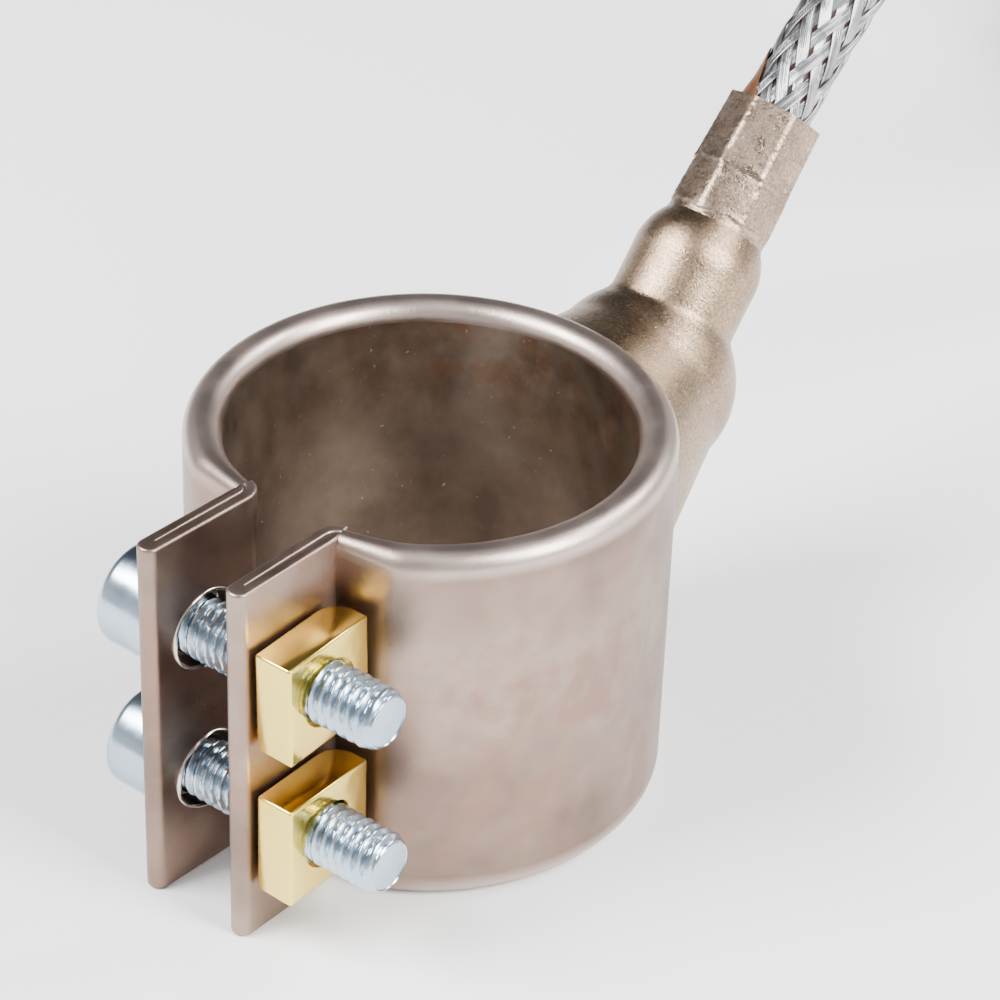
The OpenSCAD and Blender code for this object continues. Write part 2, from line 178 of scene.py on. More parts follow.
def metal(name, light, dark, rough, patch, grain, grain_strength, fleck=None, grain_depth=0.00008, speckle=0.0):
    """Metal with light and dark patches, bright flecks, dark speckle and a fine grain."""
    m, nt, bsdf = nodes_of(name)
    big = noise_node(nt, patch, 5.0, 0.6)
    col = ramp(nt, big.outputs["Fac"], [(0.32, dark), (0.68, light)])
    if fleck:
        small = noise_node(nt, 1500, 3.0, 0.7)
        col = mixed(nt, col, fleck, ramp(nt, small.outputs["Fac"], [(0.62, grey(0)), (0.72, grey(1))]))
    if speckle:
        tiny = noise_node(nt, 3600, 2.0, 0.6)
        col = multiplied(nt, col, ramp(nt, tiny.outputs["Fac"], [(0.36, grey(1 - speckle)), (0.6, grey(1))]))
    fine = noise_node(nt, grain, 3.0, 0.6)
    wave = noise_node(nt, 60, 2.0)
    metal_finish(nt, bsdf, col, rough, patch * 2.5, 4.0,
                 [(wave.outputs["Fac"], 0.12, 0.0006), (fine.outputs["Fac"], grain_strength, grain_depth)])
    return m


def plain(name, light, dark, rough=0.6, patch=300, bump=0.2, grain=1200):
    m, nt, bsdf = nodes_of(name)
    big = noise_node(nt, patch)
    nt.links.new(ramp(nt, big.outputs["Fac"], [(0.35, dark), (0.65, light)]), bsdf.inputs["Base Color"])
    bsdf.inputs["Roughness"].default_value = rough
    fine = noise_node(nt, grain)
    add_bump(nt, bsdf, [(fine.outputs["Fac"], bump, 0.0001)])
    return m


def sheath_outside():
    """Satin warm grey sheet with faint pink and green heat mottling, and rims painted lighter than the wall as a
    painted highlight.
    """
    m, nt, bsdf = nodes_of("sheath_outside")
    big = noise_node(nt, 70, 3.0, 0.55)
    base = ramp(nt, big.outputs["Fac"], [(0.38, (0.205, 0.143, 0.113)), (0.5, (0.278, 0.199, 0.159)),
                                         (0.62, (0.342, 0.258, 0.212))])
    pink = noise_node(nt, 130, 4.0, 0.6)
    col = mixed(nt, base, (0.275, 0.168, 0.132), ramp(nt, pink.outputs["Fac"], [(0.48, grey(0)), (0.62, grey(0.8))]))
    green = noise_node(nt, 210, 4.0, 0.6)
    col = mixed(nt, col, (0.265, 0.222, 0.145), ramp(nt, green.outputs["Fac"], [(0.6, grey(0)), (0.72, grey(0.4))]))
    x, y, z = axes_of(nt, "Object")
    # Painted highlight: the rolled rims, away from the ears, get a lighter colour than the wall
    rim_highlight_mask = rising(nt, math_node(nt, "ABSOLUTE", z), 0.0166, 0.0178)
    off_the_ears = rising(nt, y, -0.021, -0.017)
    col = mixed(nt, col, (0.50, 0.405, 0.355), math_node(nt, "MULTIPLY", rim_highlight_mask, off_the_ears))
    fine = noise_node(nt, 3000, 2.0, 0.6)
    wave = noise_node(nt, 45, 2.0)
    metal_finish(nt, bsdf, col, (0.33, 0.43), 200, 4.0,
                 [(wave.outputs["Fac"], 0.15, 0.0006), (fine.outputs["Fac"], 0.22, 0.00008)])
    return m


def sheath_inside():
    """The bore side: browner, with small scuffs and pale specks, and a rusty tint high at the back."""
    m, nt, bsdf = nodes_of("sheath_inside")
    big = noise_node(nt, 80, 4.0, 0.6)
    base = ramp(nt, big.outputs["Fac"], [(0.36, (0.21, 0.16, 0.125)), (0.64, (0.35, 0.275, 0.215))])
    x, y, z = axes_of(nt, "Object")
    high_at_the_back = math_node(nt, "MULTIPLY", rising(nt, z, 0.004, 0.0165), rising(nt, y, 0.004, 0.017))
    patchy = noise_node(nt, 190, 4.0, 0.7)
    patches = ramp(nt, patchy.outputs["Fac"], [(0.42, grey(0)), (0.66, grey(0.8))])
    col = mixed(nt, base, (0.27, 0.115, 0.05), math_node(nt, "MULTIPLY", high_at_the_back, patches))
    speck = noise_node(nt, 1700, 2.0, 0.7)
    col = mixed(nt, col, (0.66, 0.60, 0.53), ramp(nt, speck.outputs["Fac"], [(0.70, grey(0)), (0.76, grey(0.8))]))
    fine = noise_node(nt, 2200, 3.0, 0.7)
    wave = noise_node(nt, 50, 2.0)
    metal_finish(nt, bsdf, col, (0.32, 0.46), 260, 5.0,
                 [(wave.outputs["Fac"], 0.15, 0.0006), (fine.outputs["Fac"], 0.16, 0.00008)])
    return m


def strand_metal():
    """Six fine wires side by side in each strand: ridges and tones follow the strand's own width. Painted shade
    darkens the grooves between the wires, and painted highlights make some wires and patches brighter.
    """
    m, nt, bsdf = nodes_of("braid_wire")
    six = math_node(nt, "MULTIPLY", axes_of(nt, "UV")[0], 6.0)
    ridge = math_node(nt, "ABSOLUTE", math_node(nt, "SINE", math_node(nt, "MULTIPLY", six, math.pi)))
    white = nt.nodes.new("ShaderNodeTexWhiteNoise")
    white.noise_dimensions = "1D"
    nt.links.new(math_node(nt, "FLOOR", six), white.inputs["W"])
    # Painted highlights: each wire gets its own brightness, from grey to near white
    painted_wire_glints = ramp(nt, white.outputs["Value"], [(0.0, (0.42, 0.43, 0.45)), (0.45, (0.70, 0.71, 0.72)),
                                                  (0.8, (1.0, 1.0, 0.99))])
    # Painted shade: dark in the grooves between the wires, light on their crests
    painted_groove_shade = ramp(nt, ridge, [(0.0, (0.22, 0.22, 0.23)), (0.5, grey(0.92))])
    # Painted highlights: broad patches of the braid are made lighter than others
    painted_sheen_noise = noise_node(nt, 420, 3.0)
    patches = ramp(nt, painted_sheen_noise.outputs["Fac"], [(0.35, (0.66, 0.67, 0.70)), (0.62, (1.0, 0.99, 0.97))])
    col = multiplied(nt, multiplied(nt, painted_wire_glints, painted_groove_shade), patches)
    nt.links.new(col, bsdf.inputs["Base Color"])
    bsdf.inputs["Metallic"].default_value = 1.0
    bsdf.inputs["Roughness"].default_value = 0.27
    add_bump(nt, bsdf, [(ridge, 0.8, 0.00014)])
    return m


M = {
    "out": sheath_outside(),
    "in": sheath_inside(),
    "outlet": metal("outlet_nickel", (0.46, 0.325, 0.212), (0.31, 0.215, 0.138), (0.24, 0.36), 120, 5200, 0.5,
                    fleck=(0.70, 0.57, 0.40), grain_depth=0.0001, speckle=0.4),
    "crimp": metal("crimp_nickel", (0.50, 0.365, 0.27), (0.31, 0.222, 0.16), (0.23, 0.35), 260, 5200, 0.5,
                   fleck=(0.74, 0.62, 0.47), grain_depth=0.0001, speckle=0.42),
    "braze": metal("braze_grain", (0.58, 0.46, 0.28), (0.38, 0.29, 0.17), (0.3, 0.45), 300, 2600, 0.9,
                   fleck=(0.8, 0.68, 0.45), grain_depth=0.0002, speckle=0.6),
    "zinc": metal("zinc_plate", (0.47, 0.57, 0.65), (0.34, 0.43, 0.52), (0.17, 0.27), 160, 2400, 0.08),
    "brass": metal("brass_bright", (0.90, 0.68, 0.17), (0.80, 0.59, 0.12), (0.11, 0.22), 110, 1800, 0.06),
    "burr": metal("burr_bright", (0.72, 0.66, 0.60), (0.55, 0.48, 0.42), (0.16, 0.26), 900, 2400, 0.2),
    "nickel": metal("drawn_nickel", (0.66, 0.65, 0.62), (0.52, 0.51, 0.49), (0.25, 0.38), 200, 2400, 0.1),
    "wire": strand_metal(),
    "core": plain("brown_sleeving", (0.085, 0.026, 0.014), (0.03, 0.010, 0.007), 0.55),
    "fibre": plain("varnished_glass_fibre", (0.15, 0.05, 0.012), (0.03, 0.008, 0.003), 0.4, 420),
    "mica": plain("mica_board", (0.55, 0.45, 0.28), (0.42, 0.33, 0.2), 0.5),
    "ceramic": plain("steatite", (0.86, 0.84, 0.78), (0.78, 0.75, 0.68), 0.4),
    "strap": plain("nylon_strap", (0.02, 0.02, 0.022), (0.012, 0.012, 0.013), 0.38, 400, 0.1),
    "lead": plain("lead_insulation", (0.33, 0.17, 0.085), (0.22, 0.10, 0.05), 0.6, 900, 0.5, 2400),
}


# ---------------------------------------------------------------- mesh helpers
def make(name, verts, faces, mats, index=None, sharp=38, uvs=None):
    """A mesh object from vertices in millimetres. Edges sharper than that many degrees stay sharp."""
    me = bpy.data.meshes.new(name)
    me.from_pydata([tuple(v) for v in np.asarray(verts, float) * 0.001], [],
                   [tuple(int(i) for i in f) for f in faces])
    if uvs is not None:
        layer = me.uv_layers.new(name="UVMap")
        loops = np.zeros(len(me.loops), np.int32)
        me.loops.foreach_get("vertex_index", loops)
        layer.data.foreach_set("uv", np.asarray(uvs, np.float32)[loops].ravel())
    for m in mats if isinstance(mats, (list, tuple)) else [mats]:
        me.materials.append(m)
    if index is not None:
        me.polygons.foreach_set("material_index", np.asarray(index, np.int32))
    ob = bpy.data.objects.new(name, me)
    bpy.context.scene.collection.objects.link(ob)
    soften(ob, sharp)
    return ob


def soften(ob, sharp):
    bm = bmesh.new()
    bm.from_mesh(ob.data)
    limit = math.radians(sharp)
    for f in bm.faces:
        f.smooth = True
    for e in bm.edges:
        e.smooth = len(e.link_faces) != 2 or e.calc_face_angle(0.0) < limit
    bm.to_mesh(ob.data)
    bm.free()


def fix_normals(ob):
    bm = bmesh.new()
    bm.from_mesh(ob.data)
    bmesh.ops.recalc_face_normals(bm, faces=bm.faces)
    bm.to_mesh(ob.data)
    bm.free()


def grid_faces(rows, cols, wrap=True, start=0):
    out = []
    last = cols if wrap else cols - 1
    for i in range(rows - 1):
        for k in range(last):
            a, b = start + i * cols + k, start + i * cols + (k + 1) % cols
            out.append((a, b, b + cols, a + cols))
    return out


def closed_grid(rows, cols, start=0):
    """Faces of a grid that closes on itself both ways, such as a ring of rings."""
    out = []
    for i in range(rows):
        here, there = start + i * cols, start + ((i + 1) % rows) * cols
        for k in range(cols):
            across = (k + 1) % cols
            out.append((here + k, here + across, there + across, there + k))
    return out


def end_faces(rows, cols, start=0):
    """The two faces that close a tube's ends."""
    last = start + (rows - 1) * cols
    return [tuple(start + k for k in range(cols))[::-1], tuple(last + k for k in range(cols))]


def turn_steps(n):
    return np.linspace(0, 2 * math.pi, n, endpoint=False)


def round_rings(q, r, side, up, n):
    """A ring of n points round each point of the line q."""
    a = turn_steps(n)
    return q[:, None] + r * (np.cos(a)[None, :, None] * side[:, None] + np.sin(a)[None, :, None] * up[:, None])


def baked(ob, sharp=38):
    """Applies the modifiers."""
    deps = bpy.context.evaluated_depsgraph_get()
    me = bpy.data.meshes.new_from_object(ob.evaluated_get(deps))
    ob.modifiers.clear()
    ob.data = me
    soften(ob, sharp)
    return ob


def cut(ob, tools, sharp=38):
    for t in tools:
        mod = ob.modifiers.new("cut", "BOOLEAN")
        mod.operation = "DIFFERENCE"
        mod.solver = "EXACT"
        mod.object = t
    baked(ob, sharp)
    for t in tools:
        bpy.data.objects.remove(t)
    return ob


def cylinder(a, b, r, n=48, r2=None):
    a, b = np.array(a, float), np.array(b, float)
    d = (b - a) / np.linalg.norm(b - a)
    s = np.cross(d, (0, 0, 1.0) if abs(d[2]) < 0.9 else (1.0, 0, 0))
    s /= np.linalg.norm(s)
    u = np.cross(d, s)
    r2 = r if r2 is None else r2
    verts = [c + rr * (math.cos(t) * s + math.sin(t) * u)
             for c, rr in ((a, r), (b, r2)) for t in turn_steps(n)]
    return verts, grid_faces(2, n) + end_faces(2, n)


def own(ob, body, slot, *cad):
    """Hides the CAD nodes the piece stands for and attaches it to the body it moves with. The slot argument is not
    used.
    """
    if cad:
        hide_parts(*cad)
    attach(ob, body)
    return ob


# ---------------------------------------------------------------- camera
def aim_camera(az, el, roll, target, dist, lens):
    a, e, r = (math.radians(v) for v in (az, el, roll))
    back = Vector((math.sin(a) * math.cos(e), -math.cos(a) * math.cos(e), math.sin(e)))
    right = Vector((math.cos(a), math.sin(a), 0))
    up = back.cross(right)
    r2 = math.cos(r) * right + math.sin(r) * up
    u2 = -math.sin(r) * right + math.cos(r) * up
    cam = bpy.data.cameras.new("camera")
    cam.lens = lens
    cam.sensor_width = 36
    cam.clip_start = 0.01
    cam.clip_end = 10
    ob = bpy.data.objects.new("camera", cam)
    bpy.context.scene.collection.objects.link(ob)
    pos = (Vector(target) + back * dist) * 0.001
    rot = Matrix((r2, u2, back)).transposed().to_4x4()
    ob.matrix_world = Matrix.Translation(pos) @ rot
    bpy.context.scene.camera = ob


aim_camera(37.078, 34.532, 2.123, (0.693, 9.850, 4.890), 340.54, 129.6)


# ---------------------------------------------------------------- cable
ROUTE = [
    (0, 53.6, 28), (0, 58.4, 32.3), (0, 63.8, 36.3), (0, 70, 40.2), (0, 77, 43.3),
    (0.2, 84.5, 45), (0.8, 92, 44.8), (2, 99.5, 42.6), (4, 106.5, 38.6), (6.3, 113, 33.2),
    (8.8, 119, 27), (11.2, 125, 20.6), (13.6, 131.4, 14.4), (15.9, 138.6, 8.8), (18, 146.6, 4.2),
    (19.8, 155.4, 1.1), (21, 165, -0.2), (21.6, 176, -0.5),
]
HANK_HALF = 21.6
HANK_Y = (177.0, 261.0)
HANK_TOP, HANK_DROP = -0.5, 7.4
CABLE_END = (-21.6, 166.0, -15.0)
CABLE_R = 3.6
# Radius of the middle of the braid and of the sleeving under it
BRAID_R, CORE_R = 3.40, 3.08
# Length from the mouth over which each wire of a strand is modelled
NEAR_LEN = 42.0


def smooth_line(points, step):
    """A Catmull-Rom curve through the points, resampled evenly."""
    p = np.array(points, float)
    p = np.vstack([2 * p[0] - p[1], p, 2 * p[-1] - p[-2]])
    out = []
    for i in range(1, len(p) - 2):
        for t in np.linspace(0, 1, 12, endpoint=False):
            a, b, c, d = p[i - 1], p[i], p[i + 1], p[i + 2]
            out.append(0.5 * (2 * b + (c - a) * t + (2 * a - 5 * b + 4 * c - d) * t * t
                              + (3 * b - a - 3 * c + d) * t ** 3))
    out.append(p[-2])
    return even(np.array(out), step)


def even(q, step):
    s = np.concatenate([[0], np.cumsum(np.linalg.norm(np.diff(q, axis=0), axis=1))])
    n = max(2, int(round(s[-1] / step)) + 1)
    t = np.linspace(0, s[-1], n)
    return np.stack([np.interp(t, s, q[:, k]) for k in range(3)], 1)


def hank_line():
    pts = []
    z = HANK_TOP
    for turn in range(3):
        pts += [(HANK_HALF, y, z) for y in np.linspace(HANK_Y[0], HANK_Y[1], 40)]
        pts += [(HANK_HALF * math.cos(a), HANK_Y[1] + HANK_HALF * math.sin(a), z)
                for a in np.linspace(0, math.pi, 40)[1:-1]]
        pts += [(-HANK_HALF, y, z) for y in np.linspace(HANK_Y[1], HANK_Y[0], 40)]
        if turn < 2:
            for f in np.linspace(0, 1, 40)[1:-1]:
                a = math.pi * (1 + f)
                pts.append((HANK_HALF * math.cos(a), HANK_Y[0] + HANK_HALF * math.sin(a),
                            z - HANK_DROP * f * f * (3 - 2 * f)))
            z -= HANK_DROP
    for f in np.linspace(0, 1, 8)[1:]:
        pts.append((-HANK_HALF, HANK_Y[0] + f * (CABLE_END[1] - HANK_Y[0]), z + f * (CABLE_END[2] - z)))
    return np.array(pts)


def cable_line(step):
    first = smooth_line(ROUTE, 0.5)
    whole = np.vstack([first[:-1], hank_line()])
    # A light smoothing takes the corners off where the stretches join
    q = even(whole, 1.0)
    for _ in range(6):
        q[1:-1] = 0.25 * q[:-2] + 0.5 * q[1:-1] + 0.25 * q[2:]
    return even(q, step)


def frames(q):
    """Directions along the line, and a side vector carried along it without twist."""
    d = np.gradient(q, axis=0)
    d /= np.linalg.norm(d, axis=1)[:, None]
    side = np.zeros_like(d)
    s = np.array([1.0, 0, 0])
    for i in range(len(q)):
        s = s - d[i] * (s @ d[i])
        s /= np.linalg.norm(s)
        side[i] = s
    return d, side, np.cross(d, side)


CARRIERS = 12
BRAID_A = math.radians(22.5)
BRAID_K = math.tan(BRAID_A) / BRAID_R
STRAND_W = 1.2


def strand(q, s, side, up, number, direction, samples):
    """Vertices and UVs of one flat strand that winds round the line q."""
    n = len(q)
    m = CARRIERS * BRAID_K * s / math.pi
    phase = 2 * number + direction * m
    lift = direction * np.clip(1.5 * np.cos(2 * math.pi * (phase - 0.5) / 4), -1, 1)
    ang = 2 * math.pi * number / CARRIERS + direction * BRAID_K * s
    across = STRAND_W / math.cos(BRAID_A) / 3.45
    verts = np.zeros((n, samples, 3))
    uvs = np.zeros((n, samples, 2))
    for k, u in enumerate(np.linspace(-1, 1, samples)):
        a = ang + u * across / 2
        edge = 0.12 * u ** 4
        r = BRAID_R + 0.15 * lift + 0.04 - edge
        if samples > 8:
            r = r - 0.045 * (0.5 - 0.5 * math.cos(6 * math.pi * (u + 1)))
        verts[:, k] = q + (r * np.cos(a))[:, None] * side + (r * np.sin(a))[:, None] * up
        uvs[:, k, 0] = (u + 1) / 2 + number + (CARRIERS if direction < 0 else 0)
        uvs[:, k, 1] = s * 0.1
    return verts, uvs


def build_cable():
    """The braid over its sleeving. Gives the piece, its centre line and its length in metres."""
    verts, faces, index, uvs = [], [], [], []
    base = 0

    def add(v, f, i, uv):
        nonlocal base
        verts.append(v.reshape(-1, 3))
        faces.extend([tuple(x + base for x in g) for g in f])
        index.extend([i] * len(f))
        uvs.append(uv.reshape(-1, 2))
        base += v.reshape(-1, 3).shape[0]

    fine = cable_line(0.25)
    d, side, up = frames(fine)
    s = np.arange(len(fine)) * np.linalg.norm(fine[1] - fine[0])
    total = s[-1]
    sparse = slice(0, None, 6)
    tube = round_rings(fine[sparse], CORE_R, side[sparse], up[sparse], 20)
    add(tube, grid_faces(len(tube), 20) + end_faces(len(tube), 20), 0, np.zeros((len(tube), 20, 2)))
    near = int(NEAR_LEN / (s[1] - s[0]))
    for lo, hi, step, samples in ((0, near + 5, 1, 13), (near, len(fine), 5, 4)):
        sel = list(range(lo, hi, step))
        if sel[-1] != hi - 1:
            sel.append(hi - 1)
        for direction in (1, -1):
            for number in range(CARRIERS):
                v, uv = strand(fine[sel], s[sel], side[sel], up[sel], number, direction, samples)
                add(v, grid_faces(len(sel), samples, False), 1, uv)
    ob = make("cable_braid", np.vstack(verts), faces, [M["core"], M["wire"]], index, 60, np.vstack(uvs))
    path = [[float(x) * 0.001 for x in p] for p in even(fine, 3.0)]
    own(ob, "band_fixed", "braid", "cable", "cable_hank", "cable_end")
    return ob, path, total * 0.001


cable, cable_path, cable_length = build_cable()


# ---------------------------------------------------------------- far end of the cable
def build_collar():
    """The crimped collar at the cable's end, turned from (place along the cable, radius)."""
    ex, ey, ez = CABLE_END
    prof = [(7.5, 3.62), (7.4, 3.95), (5.2, 4.0), (4.6, 3.72), (3.6, 3.7), (3.0, 4.0), (1.2, 4.0), (0.6, 3.75),
            (-0.2, 3.75), (-0.7, 3.95), (-1.8, 3.9), (-2.0, 3.6), (-2.0, 0.01)]
    n = 40
    v = [(ex + r * math.cos(t), ey + along, ez + r * math.sin(t)) for along, r in prof for t in turn_steps(n)]
    collar = make("end_collar_crimped", v, grid_faces(len(prof), n), M["nickel"])
    fix_normals(collar)
    return own(collar, "band_fixed", "nickel_tail", "end_collar")


def build_tails():
    """Three insulated leads from the collar down to the floor, with a ferrule on each."""
    ex, ey, ez = CABLE_END
    tip_y, n = 148.0, 14
    tv, tf, fv, ff = [], [], [], []
    for i in (-1, 0, 1):
        a = np.array([ex + 2 * i, ey - 1.8, ez])
        b = np.array([ex + 4 + 3 * i, tip_y, -HALF_W + 1.2])
        pts = [a, a + (0, -3, 0), a * 0.62 + b * 0.38 + (0, 0, 0.4), a * 0.3 + b * 0.7, b + (0, 3, 0), b]
        q = smooth_line(pts, 0.6)
        q[:, 2] = np.maximum(q[:, 2], -HALF_W + 1.02)
        _, side, up = frames(q)
        start = len(tv)
        tv += list(round_rings(q, 1.0, side, up, n).reshape(-1, 3))
        tf += grid_faces(len(q), n, True, start) + end_faces(len(q), n, start)
        ahead = (b - a) * (1, 1, 0)
        ahead /= np.linalg.norm(ahead)
        for x0, x1, r1, r2 in ((-0.6, 1.2, 1.15, 0.95), (1.2, 5.8, 0.7, 0.68)):
            cv, cf = cylinder(b + ahead * x0, b + ahead * x1, r1, 20, r2)
            start = len(fv)
            fv += cv
            ff += [tuple(start + k for k in g) for g in cf]
    tails = own(make("tail_lead_wires", tv, tf, M["lead"]), "band_fixed", "glass_sleeve", "tail_leads")
    ferrules = own(make("wire_end_ferrules", fv, ff, M["nickel"]), "band_fixed", "nickel_tail", "lead_ferrules")
    return [tails, ferrules]


def build_strap():
    """A flat strap round both runs of the hank."""
    y0, w, t = 228.0, 9.0, 0.8
    out_x, top, bottom = HANK_HALF + CABLE_R + 1.1, 3.2 + 2 * t, -HALF_W
    corner_r = 2.6
    corners = ((out_x - corner_r, top - corner_r, 0), (-out_x + corner_r, top - corner_r, 90),
               (-out_x + corner_r, bottom + corner_r, 180), (out_x - corner_r, bottom + corner_r, 270))
    ring = [(cx, cz, math.radians(a0 + 15 * k)) for cx, cz, a0 in corners for k in range(7)]
    section = [(0, 0.12), (0.12, 0), (w - 0.12, 0), (w, 0.12), (w, t - 0.1), (w - 0.1, t), (0.1, t), (0, t - 0.1)]
    v = [(cx + (corner_r - depth) * math.cos(a), y0 - w / 2 + along, cz + (corner_r - depth) * math.sin(a))
         for cx, cz, a in ring for along, depth in section]
    tie = make("hank_strap", v, closed_grid(len(ring), len(section)), M["strap"])
    fix_normals(tie)
    return own(tie, "band_fixed", "tie_strap", "hank_tie")


far_pieces = [build_collar(), *build_tails(), build_strap()]


# ---------------------------------------------------------------- band
def wall_thickness(deg):
    """Thickness of the double wall at an angle round the bore. It thins towards the ears."""
    a = deg if deg <= 90 else 180 - deg
    if a >= TAPER_A + 14:
        return WALL
    p = FOLD
    soft = 0.12
    q = R_OUT * np.array([math.cos(math.radians(TAPER_A)), math.sin(math.radians(TAPER_A))])
    n = np.array([-(q - p)[1], (q - p)[0]])
    u = np.array([math.cos(math.radians(a)), math.sin(math.radians(a))])
    line = float(n @ p / (n @ u)) - R_IN
    return -soft * math.log(math.exp(-line / soft) + math.exp(-WALL / soft))


def rolled_section(T):
    """(depth into the wall, height) round the inner sheet with its two rolled rims."""
    r = T / 2
    t = min(SHEET, r - 0.06)
    zc = HALF_W - r + 0.03
    zs = zc - SEAM_DROP
    clamp = lambda z: max(-HALF_W, min(HALF_W, z))

    def arc(rr, a0, a1, s):
        return [(r + rr * math.cos(a), clamp(s * zc + rr * math.sin(a))) for a in np.radians(np.linspace(a0, a1, 19))]

    pts = [(0, z) for z in np.linspace(-zc, zc, 13)[1:-1]]
    pts += arc(r, 180, 0, 1)
    pts += [(T, zs), (T - t, zs)]
    pts += arc(r - t, 0, 180, 1)
    pts += [(t, z) for z in np.linspace(zc, -zc, 5)[1:-1]]
    pts += arc(r - t, 180, 360, -1)
    pts += [(T - t, -zs), (T, -zs)]
    pts += arc(r, 360, 180, -1)
    return pts


def outer_section(T):
    """The same for the outer sheet, which lies between the two rims."""
    t = min(SHEET, T - SHEET - 0.02)
    zs = HALF_W - T / 2 + 0.03 - SEAM_DROP - 0.008
    o = T - 0.002
    return ([(o, z) for z in np.linspace(-zs + 0.15, zs - 0.15, 13)]
            + [(o, zs), (o - t, zs), (o - t, -zs), (o, -zs)])


# Points of the rolled section that lie on the bore face
BORE_POINTS = 11


def ring_mesh(name, section, a0, a1, mats, caps=(True, True), inside=False):
    n = max(8, int(abs(a1 - a0) / 1.25))
    degs = np.linspace(a0, a1, n + 1)
    verts = []
    for deg in degs:
        sec = section(wall_thickness(deg))
        c, s = math.cos(math.radians(deg)), math.sin(math.radians(deg))
        verts += [((R_IN + d) * c, (R_IN + d) * s, z) for d, z in sec]
    cols = len(sec)
    faces = grid_faces(n + 1, cols)
    index = [int(inside and (k < BORE_POINTS or k == cols - 1)) for i in range(n) for k in range(cols)]
    if caps[0]:
        faces.append(tuple(range(cols)))
        index.append(0)
    if caps[1]:
        faces.append(tuple(range(n * cols, (n + 1) * cols))[::-1])
        index.append(0)
    return make(name, verts, faces, mats, index, 50)


def arc_pts(at, r, a0, a1, n):
    return [np.array(at) + r * np.array([math.cos(a), math.sin(a)]) for a in np.radians(np.linspace(a0, a1, n + 1))]


def ear_outline(tilt):
    """Plan of an ear: one sheet folded double at the ear's end, with the slit between its two plies."""
    t = math.radians(tilt)
    ex = np.array([math.cos(t), math.sin(t)])
    ey = np.array([-math.sin(t), math.cos(t)])
    P = lambda x, y: FOLD + x * ex + y * ey
    L = EAR_LEN - SHEET
    slit = 0.05
    mark = lambda pts: [(q[0], q[1], 1) for q in pts]
    return ([tuple(q) for q in arc_pts((0, 0), R_IN + 0.02, FOLD_A + 0.6, FOLD_A + 0.2, 1)
             + arc_pts(FOLD, EAR_T, FOLD_A + 180, 180 + tilt, 18)
             + arc_pts(P(-SHEET, -L), SHEET, 180 + tilt, 360 + tilt, 22)
             + [P(0, -L / 2), P(0, -0.4), P(0, 0)]]
            + mark(arc_pts(FOLD, SHEET - slit, FOLD_A + 180, 180 + tilt, 12)
                   + [P(-SHEET + slit, -L / 2), P(-SHEET + slit, -L + 0.75), P(-SHEET - slit, -L + 0.75),
                      P(-SHEET - slit, -L / 2)]
                   + arc_pts(FOLD, SHEET + slit, 180 + tilt, FOLD_A + 180, 12))
            + [tuple(q) for q in arc_pts((0, 0), R_IN + SHEET + slit, FOLD_A + 0.2, FOLD_A + 0.6, 1)])


def plate(name, outline, mats, soft=0.3):
    """An upright sheet of that plan with rounded top and bottom edges, where the slit narrows to nothing."""
    p = np.array([q[:2] for q in outline])
    slit = np.array([len(q) > 2 for q in outline])
    area = 0.5 * np.sum(p[:, 0] * np.roll(p[:, 1], -1) - np.roll(p[:, 0], -1) * p[:, 1])
    if area < 0:
        p, slit = p[::-1], slit[::-1]
    e0 = p - np.roll(p, 1, 0)
    e1 = np.roll(p, -1, 0) - p
    n0 = np.stack([e0[:, 1], -e0[:, 0]], 1) / np.maximum(np.linalg.norm(e0, axis=1), 1e-9)[:, None]
    n1 = np.stack([e1[:, 1], -e1[:, 0]], 1) / np.maximum(np.linalg.norm(e1, axis=1), 1e-9)[:, None]
    nm = n0 + n1
    nm /= np.maximum(np.linalg.norm(nm, axis=1), 1e-9)[:, None]
    nm /= np.clip((nm * n1).sum(1), 0.6, 1)[:, None]
    verts = []
    steps = np.radians([90, 65, 40, 20, 0])
    levels = [(-HALF_W + soft * (1 - math.sin(a)), 1 - math.cos(a)) for a in steps]
    levels += [(z, 0.0) for z in (-14, -8.2, -2, 3, 7.6, 13)]
    levels += [(HALF_W - soft * (1 - math.sin(a)), 1 - math.cos(a)) for a in steps[::-1]]
    for z, k in levels:
        inset = np.where(slit, 0.16 * k - 0.045 * (1 - k), soft * k)
        q = p - nm * inset[:, None]
        verts += [(x, y, z) for x, y in q]
    faces = grid_faces(len(levels), len(p)) + end_faces(len(levels), len(p))
    return make(name, verts, faces, mats, None, 50)


def hole_tools(side, reach):
    tools = []
    for z in (UPPER_Z, LOWER_Z):
        v, f = cylinder((side * 0.5, -reach, z), (side * 14, -reach, z), 3.7, 72)
        tools.append(make("tool", v, f, M["out"]))
    return tools


def mirror(ob):
    ob.data.transform(Matrix.Scale(-1, 4, (1, 0, 0)))
    ob.data.flip_normals()


def lips(side, tilt, reach, body):
    """Raised burrs round the screw holes on the side of the ear that faces the gap."""
    verts, faces = [], []
    t = math.radians(tilt)
    ex = np.array([math.cos(t), math.sin(t)])
    base = FOLD - EAR_T * ex
    rng = np.random.default_rng(5)
    for z in (UPPER_Z, LOWER_Z):
        k = (reach + base[1]) / math.cos(t)
        face_x = base[0] + k * math.sin(t)
        off = len(verts)
        n, m = 72, 10
        peaks = rng.uniform(0.35, 1.25, 19)
        peaks[-1] = peaks[0]
        bumps = np.interp(np.linspace(0, 1, n, endpoint=False), np.linspace(0, 1, 19), peaks)
        for i in range(n):
            a = 2 * math.pi * i / n
            for j in range(m):
                b = 2 * math.pi * j / m
                r = 3.9 + 0.22 * math.cos(b) * (0.7 + 0.3 * bumps[i])
                h = -0.34 * bumps[i] * math.sin(b) + 0.05
                y = -reach + r * math.cos(a)
                lean = (y + reach) * -math.sin(t)
                verts.append((side * (face_x + lean + h), y, z + r * math.sin(a)))
        faces += closed_grid(n, m, off)
    ob = make("hole_burrs_" + ("closing" if side > 0 else "fixed"), verts, faces, M["burr"])
    fix_normals(ob)
    return own(ob, body, "inner_sheath")


